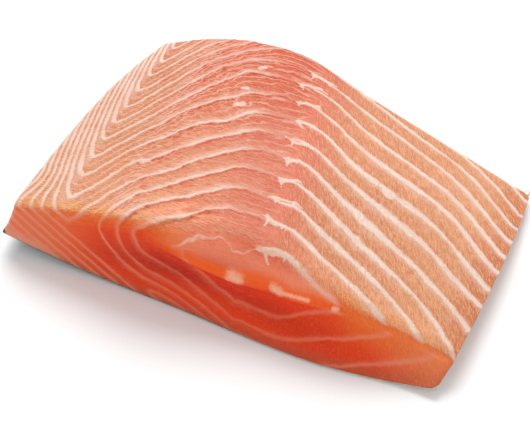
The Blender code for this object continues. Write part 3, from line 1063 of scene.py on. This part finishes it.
def flesh_material():
    n = Nodes("salmon_flesh")
    place = n.add("ShaderNodeTexCoord").outputs["Object"]
    middle = n.attribute("middle")
    cut = n.attribute("cut")
    flesh = n.attribute("flesh_colour", vector=True)
    fat = n.attribute("fat_colour", vector=True)

    fibres = n.noise(n.scaled(place, FIBRE_GRAIN), 1.0, 3.0, 0.6)
    turned = n.add("ShaderNodeVectorRotate", rotation_type="Z_AXIS")
    n.link(place, turned.inputs["Vector"])
    n.link(RIB_TURN, turned.inputs["Angle"])
    ribs = n.noise(n.scaled(turned.outputs[0], RIB_GRAIN), 1.0, 2.0, 0.55)
    speckle = n.noise(place, SPECKLE_GRAIN, 2.0, 0.6)
    cloud = n.noise(n.scaled(place, CLOUD_GRAIN), 1.0, 3.0, 0.6)
    jagged = n.noise(place, RAGGED_GRAIN, 3.0, 0.6)
    grain = n.blend(0.35, n.blend(n.attribute("belly"), fibres, ribs), speckle)
    sway = n.math("SUBTRACT", jagged, 0.5)
    line, foot = sheet_lines(n, place, middle, cut, cloud, sway)

    calm = n.math("MAXIMUM", n.times(cut, 0.92), n.times(n.attribute("smooth"), 0.5))
    texture = n.math("SUBTRACT", 1.0, calm)
    dark = n.times(n.between(grain, 0.50, 0.40, 0.0, 0.75), texture)
    light = n.times(n.between(grain, 0.50, 0.60, 0.0, 0.75), texture)
    blotch = n.times(n.between(cloud, 0.52, 0.72, 0.0, 0.65), middle, texture)
    fat = n.mix(n.between(jagged, 0.35, 0.65, 0.0, 0.35), fat, n.scaled(fat, (0.97, 0.88, 0.82)))
    mark = n.math("ADD", n.attribute("mark"), n.times(sway, 0.4))
    fleck = n.math("ADD", n.attribute("fleck"), n.times(sway, 0.8))
    colour = n.mix(dark, flesh, n.scaled(flesh, (0.93, 0.62, 0.50)))
    colour = n.mix(light, colour, srgb(GRAIN_LIGHT))
    colour = n.mix(blotch, colour, srgb(BLOTCH_COLOUR))
    colour = n.mix(n.attribute("hollow"), colour, srgb(HOLLOW_COLOUR))
    # Darker red foot in front of each sheet, partly painted shade of the step
    colour = n.mix(foot, colour, srgb(FOOT_RED_AND_PAINTED_SHADE))
    colour = n.mix(line, colour, fat)
    colour = n.mix(n.between(mark, 0.30, 0.72, 0.0, 0.88), colour, fat)
    colour = n.mix(n.between(fleck, 0.10, 0.95, 0.0, 0.75), colour, srgb(FLECK_COLOUR))

    n.set(
        Base_Color=colour,
        Roughness=n.between(speckle, 0.3, 0.7, 0.34, 0.50),
        IOR=1.36,
        Subsurface_Weight=0.30,
        Subsurface_Radius=(0.0022, 0.0008, 0.0004),
        Subsurface_Scale=1.0,
        Specular_IOR_Level=n.between(cut, 0.0, 1.0, 0.38, 0.24),
        Coat_Weight=0.05,
        Coat_Roughness=0.25,
        Normal=n.bump(n.times(grain, n.math("SUBTRACT", 1.0, n.times(cut, 0.7))), 0.0012),
    )
    return n.material


def skin_material():
    n = Nodes("salmon_skin")
    place = n.add("ShaderNodeTexCoord").outputs["Object"]
    sides = n.add("ShaderNodeSeparateXYZ")
    n.link(place, sides.inputs[0])
    scales = n.add("ShaderNodeTexVoronoi")
    n.link(n.scaled(place, (1.0, 0.7, 1.0)), scales.inputs["Vector"])
    n.link(SCALE_GRAIN, scales.inputs["Scale"])
    cloud = n.noise(place, 45.0, 3.0)
    fine = n.noise(place, 500.0, 2.0)
    shift = n.times(n.math("SUBTRACT", cloud, 0.5), 0.03)
    belly = n.between(n.math("ADD", sides.outputs["X"], shift), *SKIN_PALE_X)
    dark = n.mix(n.between(cloud, 0.3, 0.7), *map(srgb, SKIN_DARK))
    pale = n.mix(n.between(fine, 0.3, 0.7), *map(srgb, SKIN_PALE))
    colour = n.mix(belly, dark, pale)
    rim = n.between(scales.outputs["Distance"], 0.25, 0.75, 0.0, 0.55)
    shade = n.mix(belly, (0.45, 0.45, 0.47), (0.80, 0.78, 0.78))
    n.set(
        Base_Color=n.mix(rim, colour, n.scaled(colour, shade)),
        Roughness=n.between(fine, 0.3, 0.7, 0.26, 0.40),
        Metallic=0.15,
        Normal=n.bump(scales.outputs["Distance"], 0.0004),
    )
    return n.material


def make_floor():
    half = FLOOR_HALF
    corners = [(-half, -half, 0.0), (half, -half, 0.0), (half, half, 0.0), (-half, half, 0.0)]
    mesh = bpy.data.meshes.new("floor")
    mesh.from_pydata(corners, [], [(0, 1, 2, 3)])
    floor = bpy.data.objects.new("floor", mesh)
    bpy.context.scene.collection.objects.link(floor)
    n = Nodes("floor_white")
    n.set(Base_Color=(FLOOR_WHITE,) * 3, Roughness=0.9, Specular_IOR_Level=0.1)
    mesh.materials.append(n.material)


def aim(thing, target):
    direction = Vector(target) - thing.location
    thing.rotation_euler = direction.to_track_quat("-Z", "Y").to_euler()


def make_light(name, place, size, power):
    data = bpy.data.lights.new(name, "AREA")
    data.shape = "DISK"
    data.size = size
    data.energy = power
    light = bpy.data.objects.new(name, data)
    light.location = place
    bpy.context.scene.collection.objects.link(light)
    aim(light, LIGHT_TARGET)


def make_world(strength):
    world = bpy.data.worlds.new("studio")
    world.use_nodes = True
    background = world.node_tree.nodes["Background"]
    background.inputs["Color"].default_value = (1.0, 1.0, 1.0, 1.0)
    background.inputs["Strength"].default_value = strength
    bpy.context.scene.world = world


def make_camera():
    elevation = math.radians(ELEVATION)
    azimuth = math.radians(AZIMUTH)
    back = Vector((
        math.sin(azimuth) * math.cos(elevation),
        -math.cos(azimuth) * math.cos(elevation),
        math.sin(elevation),
    ))
    target = Vector(TARGET) + SHIFT
    data = bpy.data.cameras.new("camera")
    data.sensor_width = SENSOR_WIDTH
    data.sensor_fit = "HORIZONTAL"
    data.lens = FOCAL_PIXELS / PHOTO_WIDTH * SENSOR_WIDTH
    data.clip_start = CLIP_START
    camera = bpy.data.objects.new("camera", data)
    camera.location = target + back * DISTANCE
    bpy.context.scene.collection.objects.link(camera)
    aim(camera, target)
    bpy.context.scene.camera = camera


make_camera()
make_flesh()
make_skin()
make_floor()
make_world(SKY_STRENGTH)
make_light("key", *KEY_LIGHT)
make_light("fill", *FILL_LIGHT)
bpy.context.scene.view_settings.view_transform = "Standard"
